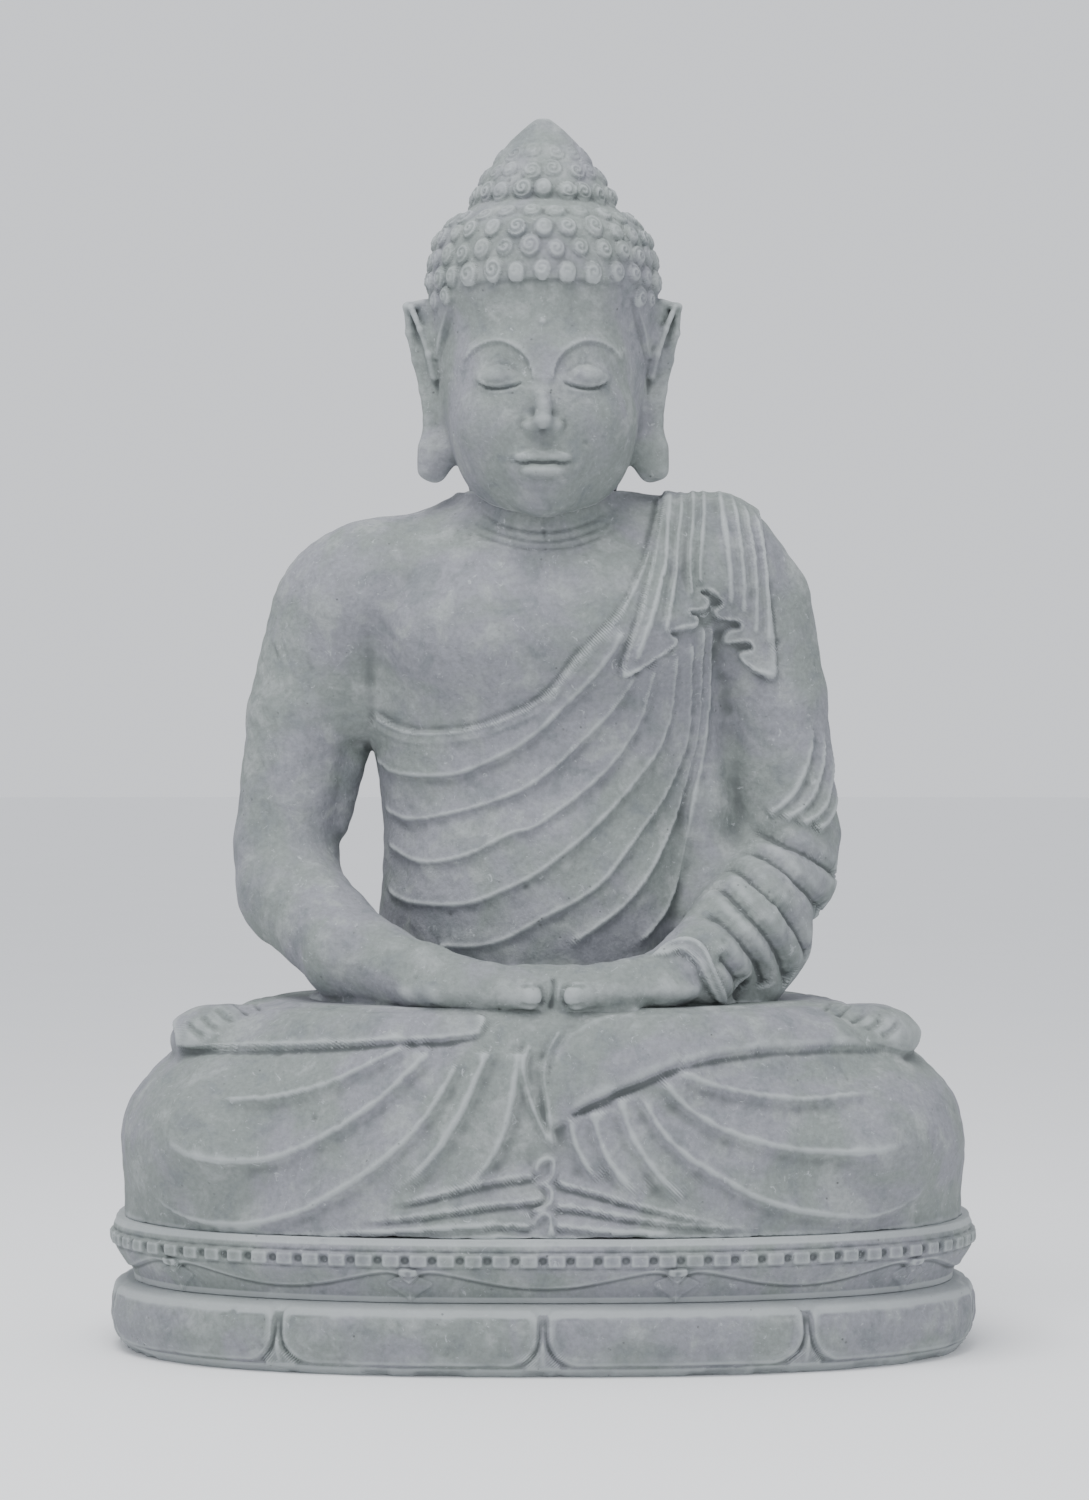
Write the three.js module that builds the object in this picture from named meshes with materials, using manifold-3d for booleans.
// A seated stone Buddha on a double lotus plinth, cut as five blocks that are stacked, bedded in mortar and
// pinned with steel dowels. Units are millimetres, +Z is up, the figure faces -Y, and the origin is the centre
// of the plinth's underside.
import * as THREE from "three";
import { mergeVertices } from "three/addons/utils/BufferGeometryUtils.js";
import Module from "manifold-3d";

const wasm = await Module();
wasm.setup();

// ---- Driving dimensions ----
const HEIGHT = 1500; // underside to the tip of the crown
const PLINTH_HALF_WIDTH = 527;
const PLINTH_HALF_DEPTH = 330;
const PLAN_POWER = 2.4; // superellipse power of the plinth's plan: 2 is an ellipse
const WAIST_INSET = 20; // how far the groove between the two tiers goes in
const LOWER_TIER_TOP = 82;
const UPPER_TIER_TOP = 158;
const LAP_TOP = 420; // the flat bed on the lap, where the torso stands
const NECK_JOINT = 1040; // the flat bed on the neck, where the head stands
const JOINT = 3; // height of a mortar joint
const GAP = 0.3; // clearance between a bed or a dowel and the stone
const TORSO_Y = 60; // the trunk stands behind the plinth's middle
const NECK_Y = 42;
const NECK_RADIUS = 92;
const CHIN_CLEARANCE = 10; // free space between the throat and the back of the chin
const PIN_RADIUS = 8;
const NECK_PIN_RADIUS = 12;
const SOCKET_MARGIN = 4; // thickness of the grout round a dowel

const PLAN_SEGMENTS = 48;
const BALL_SEGMENTS = 20;
const LIMB_SEGMENTS = 16;
const PIN_SEGMENTS = 12;
const SLIVER = 0.05; // edges that a join leaves shorter than this are collapsed

// ---- Materials ----
const stone = new THREE.MeshStandardMaterial({ color: 0x9aa0a0, roughness: 0.85, metalness: 0 });
const mortar = new THREE.MeshStandardMaterial({ color: 0x8d918f, roughness: 0.95, metalness: 0 });
const steel = new THREE.MeshStandardMaterial({ color: 0xb4b6b8, roughness: 0.35, metalness: 1 });

// ---- Solids ----
function solid(geometry) {
  const bare = geometry.index ? geometry.toNonIndexed() : geometry.clone();
  bare.deleteAttribute("normal");
  bare.deleteAttribute("uv");
  const merged = mergeVertices(bare, 1e-3);
  const corners = [];
  for (let i = 0; i < merged.index.count; i += 3) {
    const [a, b, c] = [0, 1, 2].map((k) => merged.index.getX(i + k));
    if (a !== b && b !== c && c !== a) corners.push(a, b, c);
  }
  const make = (order) =>
    new wasm.Manifold(
      new wasm.Mesh({
        numProp: 3,
        vertProperties: new Float32Array(merged.attributes.position.array),
        triVerts: new Uint32Array(order),
      }),
    );
  const made = make(corners);
  if (made.volume() > 0) return made;
  return make(corners.map((_, i) => corners[i - (i % 3) + [0, 2, 1][i % 3]]));
}

const join = (...parts) => parts.reduce((whole, part) => whole.add(part));
const cut = (whole, ...tools) => tools.reduce((left, tool) => left.subtract(tool), whole);

// An ellipsoid, leaned by `lean` radians about Y.
function ball([x, y, z], [rx, ry, rz], lean = 0) {
  const geometry = new THREE.SphereGeometry(1, BALL_SEGMENTS, BALL_SEGMENTS / 2);
  geometry.rotateX(Math.PI / 2).scale(rx, ry, rz).rotateY(lean).translate(x, y, z);
  return solid(geometry);
}

// A limb: two balls and the cone between them, turned as one profile.
function limb(from, fromRadius, to, toRadius) {
  const start = new THREE.Vector3(...from);
  const end = new THREE.Vector3(...to);
  const length = start.distanceTo(end);
  const steps = 5;
  const arc = (radius, centre, low) =>
    Array.from({ length: steps + 1 }, (_, i) => {
      const angle = low + (Math.PI / 2) * (i / steps);
      return new THREE.Vector2(Math.max(0, radius * Math.cos(angle)), centre + radius * Math.sin(angle));
    });
  const profile = [...arc(fromRadius, 0, -Math.PI / 2), ...arc(toRadius, length, 0)];
  profile[0].x = 0;
  profile[profile.length - 1].x = 0;
  const geometry = new THREE.LatheGeometry(profile, LIMB_SEGMENTS);
  const turn = new THREE.Quaternion().setFromUnitVectors(
    new THREE.Vector3(0, 1, 0),
    end.clone().sub(start).normalize(),
  );
  geometry.applyQuaternion(turn).translate(start.x, start.y, start.z);
  return solid(geometry);
}

// A turned profile of [share of the plan, height] pairs, with an oval or superellipse plan.
function oval(profile, halfWidth, halfDepth, y = 0, power = 2, segments = PLAN_SEGMENTS) {
  const points = profile.map(([share, z]) => new THREE.Vector2(share, z));
  points.unshift(new THREE.Vector2(0, profile[0][1]));
  points.push(new THREE.Vector2(0, profile[profile.length - 1][1]));
  const geometry = new THREE.LatheGeometry(points, segments).rotateX(Math.PI / 2);
  const position = geometry.attributes.position;
  for (let i = 0; i < position.count; i++) {
    const [px, py] = [position.getX(i), position.getY(i)];
    const share = Math.hypot(px, py);
    if (share < 1e-6) continue;
    const [c, s] = [Math.abs(px / share), Math.abs(py / share)];
    const reach = share / (c ** power + s ** power) ** (1 / power);
    position.setXY(i, (px / share) * reach * halfWidth, (py / share) * reach * halfDepth + y);
  }
  return solid(geometry);
}

function pillar(x, y, low, high, radius) {
  const geometry = new THREE.CylinderGeometry(radius, radius, high - low, PIN_SEGMENTS);
  geometry.rotateX(Math.PI / 2).translate(x, y, (low + high) / 2);
  return solid(geometry);
}

// Everything below (or above) a level, as a box to cut with.
function slab(low, high) {
  const geometry = new THREE.BoxGeometry(4 * PLINTH_HALF_WIDTH, 4 * PLINTH_HALF_WIDTH, high - low);
  return solid(geometry.translate(0, 0, (low + high) / 2));
}

const mirrored = (make) => join(make(-1), make(1));

// ---- Joints: where each pair of blocks is bedded and pinned ----
const fourPins = (x, front, back) => [-x, x].flatMap((px) => [front, back].map((py) => [px, py]));
const JOINTS = {
  plinth: {
    level: LOWER_TIER_TOP,
    depth: 46,
    pinRadius: PIN_RADIUS,
    pins: fourPins(360, -120, 120),
    bed: [PLINTH_HALF_WIDTH - 60, PLINTH_HALF_DEPTH - 60, 0, PLAN_POWER],
  },
  seat: {
    level: UPPER_TIER_TOP,
    depth: 50,
    pinRadius: PIN_RADIUS,
    pins: fourPins(250, -130, 130),
    bed: [PLINTH_HALF_WIDTH - 70, PLINTH_HALF_DEPTH - 70, 0, PLAN_POWER],
  },
  torso: {
    level: LAP_TOP,
    depth: 75,
    pinRadius: PIN_RADIUS + 2,
    pins: fourPins(110, 5, 120),
    bed: [170, 100, TORSO_Y + 5, 2],
  },
  neck: {
    level: NECK_JOINT,
    depth: 60,
    pinRadius: NECK_PIN_RADIUS,
    pins: [[-38, NECK_Y], [38, NECK_Y]],
    bed: [NECK_RADIUS - 10, NECK_RADIUS - 10, NECK_Y, 2],
  },
};

const socketsOf = ({ level, depth, pinRadius, pins }) =>
  join(
    ...pins.map(([x, y]) =>
      pillar(x, y, level - depth - SOCKET_MARGIN, level + JOINT + depth + SOCKET_MARGIN, pinRadius + SOCKET_MARGIN),
    ),
  );

// The mortar bed and the grout round its dowels set as one piece.
function bedOf({ level, depth, pinRadius, pins, bed: [halfWidth, halfDepth, y, power] }) {
  const [low, high] = [level + GAP, level + JOINT - GAP];
  const sheet = oval([[1, low], [1, high]], halfWidth, halfDepth, y, power, 32);
  const sleeves = pins.map(([px, py]) =>
    pillar(px, py, level - depth, level + JOINT + depth, pinRadius + SOCKET_MARGIN - GAP),
  );
  const bores = pins.map(([px, py]) =>
    pillar(px, py, level - depth - 1, level + JOINT + depth + 1, pinRadius + GAP),
  );
  return cut(join(sheet, ...sleeves), ...bores);
}

const pinOf = ({ level, depth, pinRadius }, [x, y]) =>
  pillar(x, y, level - depth + 2, level + JOINT + depth - 2, pinRadius);

// ---- Stone blocks ----
// The lower tier swells out in a ring of petals and tucks in to the waist.
function plinthLower() {
  const waist = 1 - WAIST_INSET / PLINTH_HALF_WIDTH;
  const tier = oval(
    [[0.975, 0], [0.993, 14], [1, 34], [0.998, 54], [0.985, 70], [waist, LOWER_TIER_TOP]],
    PLINTH_HALF_WIDTH,
    PLINTH_HALF_DEPTH,
    0,
    PLAN_POWER,
  );
  return cut(tier, socketsOf(JOINTS.plinth));
}

// The upper tier flares from the waist to the beaded rim that carries the seat.
function plinthUpper() {
  const waist = 1 - WAIST_INSET / PLINTH_HALF_WIDTH;
  const tier = oval(
    [
      [waist - 0.015, LOWER_TIER_TOP + JOINT],
      [waist, 98],
      [0.985, 118],
      [0.996, 132],
      [0.99, 146],
      [0.965, UPPER_TIER_TOP],
    ],
    PLINTH_HALF_WIDTH,
    PLINTH_HALF_DEPTH,
    0,
    PLAN_POWER,
  );
  return cut(tier, socketsOf(JOINTS.plinth), socketsOf(JOINTS.seat));
}

// Crossed legs under the robe: a broad cushion of knees and thighs, the shins laid over it, the feet on top.
function legBlock() {
  const skirt = oval(
    [[0.95, UPPER_TIER_TOP + JOINT], [0.962, 190], [0.965, 250], [0.93, 310], [0.84, 362], [0.6, 398]],
    PLINTH_HALF_WIDTH,
    PLINTH_HALF_DEPTH - 4,
    0,
    PLAN_POWER,
  );
  const knees = mirrored((side) => ball([side * 376, -56, 260], [130, 212, 112]));
  const lap = oval([[1, 300], [0.97, 380], [0.89, LAP_TOP]], 344, 264, 0, 2.3);
  const shins = mirrored((side) => limb([side * 350, -120, 352], 44, [side * 40, -228, 352], 58));
  const feet = mirrored((side) => limb([side * 300, -100, 378], 32, [side * 402, -92, 368], 30));
  return cut(
    join(skirt, knees, lap, shins, feet),
    slab(LAP_TOP, HEIGHT),
    slab(-HEIGHT, UPPER_TIER_TOP + JOINT),
    socketsOf(JOINTS.seat),
    socketsOf(JOINTS.torso),
  );
}

// An arm as a chain of limbs through its stations, each a centre and the radius there.
const arm = (...stations) =>
  join(...stations.slice(1).map((to, i) => limb(stations[i].slice(0, 3), stations[i][3], to.slice(0, 3), to[3])));

// Trunk, shoulders, both arms and the hands in the lap, with the neck's lower half.
function torsoBlock() {
  const trunk = oval(
    [[0.96, 400], [0.91, 480], [0.87, 560], [0.87, 640], [0.92, 740], [0.98, 840], [1, 900], [0.92, 960], [0.7, 1004]],
    228,
    152,
    TORSO_Y,
    2.2,
    32,
  );
  const shoulders = mirrored((side) => limb([side * 90, NECK_Y + 12, 972], 68, [side * 258, TORSO_Y, 925], 82));
  const rightArm = arm(
    [-258, TORSO_Y, 900, 82],
    [-299, TORSO_Y - 8, 764, 66],
    [-319, TORSO_Y - 14, 608, 63],
    [-311, 18, 548, 64],
    [-230, -108, 477, 56],
    [-150, -176, 460, 42],
  );
  const leftArm = arm(
    [258, TORSO_Y, 908, 82],
    [287, TORSO_Y - 8, 782, 65],
    [301, TORSO_Y - 12, 622, 64],
    [298, 22, 570, 63],
    [236, -92, 508, 59],
    [150, -172, 468, 44],
  );
  // The right arm lies against the ribs, and leaves them along a slant above the gap that shows daylight.
  const armpit = join(
    limb([-222, TORSO_Y - 2, 880], 50, [-222, TORSO_Y - 4, 762], 35),
    limb([-236, TORSO_Y - 4, 772], 34, [-268, TORSO_Y - 12, 636], 28),
  );
  const hands = ball([0, -210, 444], [168, 52, 32]);
  const lapCloth = ball([0, -18, 405], [314, 198, 61]);
  // The robe hangs over the left arm and closes the space between that arm and the trunk.
  const drape = arm([215, TORSO_Y - 8, 880, 84], [238, TORSO_Y - 22, 560, 88], [178, -96, 470, 52]);
  const neck = limb([0, NECK_Y, 960], NECK_RADIUS + 6, [0, NECK_Y, 1100], NECK_RADIUS - 2);
  return cut(
    join(trunk, shoulders, rightArm, leftArm, armpit, hands, lapCloth, drape, neck),
    slab(NECK_JOINT, HEIGHT),
    slab(0, LAP_TOP + JOINT),
    socketsOf(JOINTS.torso),
    socketsOf(JOINTS.neck),
  );
}

// One long ear, from its rim to its hanging lobe.
function ear(side) {
  const outline = new THREE.Shape();
  outline.moveTo(-20, 1132);
  outline.quadraticCurveTo(-26, 1060, 4, 1052);
  outline.quadraticCurveTo(32, 1056, 28, 1110);
  outline.quadraticCurveTo(26, 1160, 36, 1200);
  outline.quadraticCurveTo(52, 1276, 20, 1282);
  outline.quadraticCurveTo(-26, 1284, -26, 1200);
  outline.closePath();
  const geometry = new THREE.ExtrudeGeometry(outline, { depth: 26, bevelEnabled: false, curveSegments: 5 });
  // The outline lies in the side view: its first axis becomes +Y and its thickness runs outwards along X.
  geometry.rotateX(Math.PI / 2).rotateZ(Math.PI / 2);
  geometry.rotateZ(-side * 0.18).translate(side > 0 ? 124 : -150, NECK_Y - 2, 0);
  return solid(geometry);
}

// Head, long ears, the cap of curls and the crown above it.
function headBlock() {
  const neck = oval([[1, NECK_JOINT - 10], [0.96, 1180]], NECK_RADIUS - 2, NECK_RADIUS - 2, NECK_Y, 2, 24);
  const face = ball([0, 8, 1162], [126, 138, 156]);
  const cap = ball([0, 24, 1290], [145, 152, 118]);
  const crown = oval(
    [[0.93, 1370], [1, 1402], [0.95, 1424], [0.72, 1458], [0.42, 1484], [0.16, HEIGHT]],
    90,
    90,
    28,
    2,
    24,
  );
  const ears = mirrored(ear);
  // Under the joint the chin hangs in front of the torso block's throat and stays clear of it.
  const clearance = NECK_RADIUS + CHIN_CLEARANCE;
  const throat = oval([[1, 900], [1, NECK_JOINT + JOINT]], clearance, clearance, NECK_Y, 2, 24);
  return cut(join(neck, face, cap, crown, ears), throat, socketsOf(JOINTS.neck));
}

// ---- Assembly ----
const statue = new THREE.Group();

function add(name, shape, material) {
  const { vertProperties, triVerts, numProp } = shape.simplify(SLIVER).getMesh();
  const geometry = new THREE.BufferGeometry();
  const positions = new Float32Array((vertProperties.length / numProp) * 3);
  for (let i = 0; i < positions.length / 3; i++)
    positions.set(vertProperties.subarray(i * numProp, i * numProp + 3), i * 3);
  geometry.setAttribute("position", new THREE.BufferAttribute(positions, 3));
  geometry.setIndex(new THREE.BufferAttribute(triVerts, 1));
  geometry.computeVertexNormals();
  const mesh = new THREE.Mesh(geometry, material);
  mesh.name = name;
  statue.add(mesh);
}

add("plinth_lower", plinthLower(), stone);
add("plinth_upper", plinthUpper(), stone);
add("leg_block", legBlock(), stone);
add("torso_block", torsoBlock(), stone);
add("head_block", headBlock(), stone);
for (const [name, joint] of Object.entries(JOINTS)) {
  add(`${name}_mortar_bed`, bedOf(joint), mortar);
  joint.pins.forEach((place, i) => add(`${name}_dowel_${i + 1}`, pinOf(joint, place), steel));
}

export default statue;
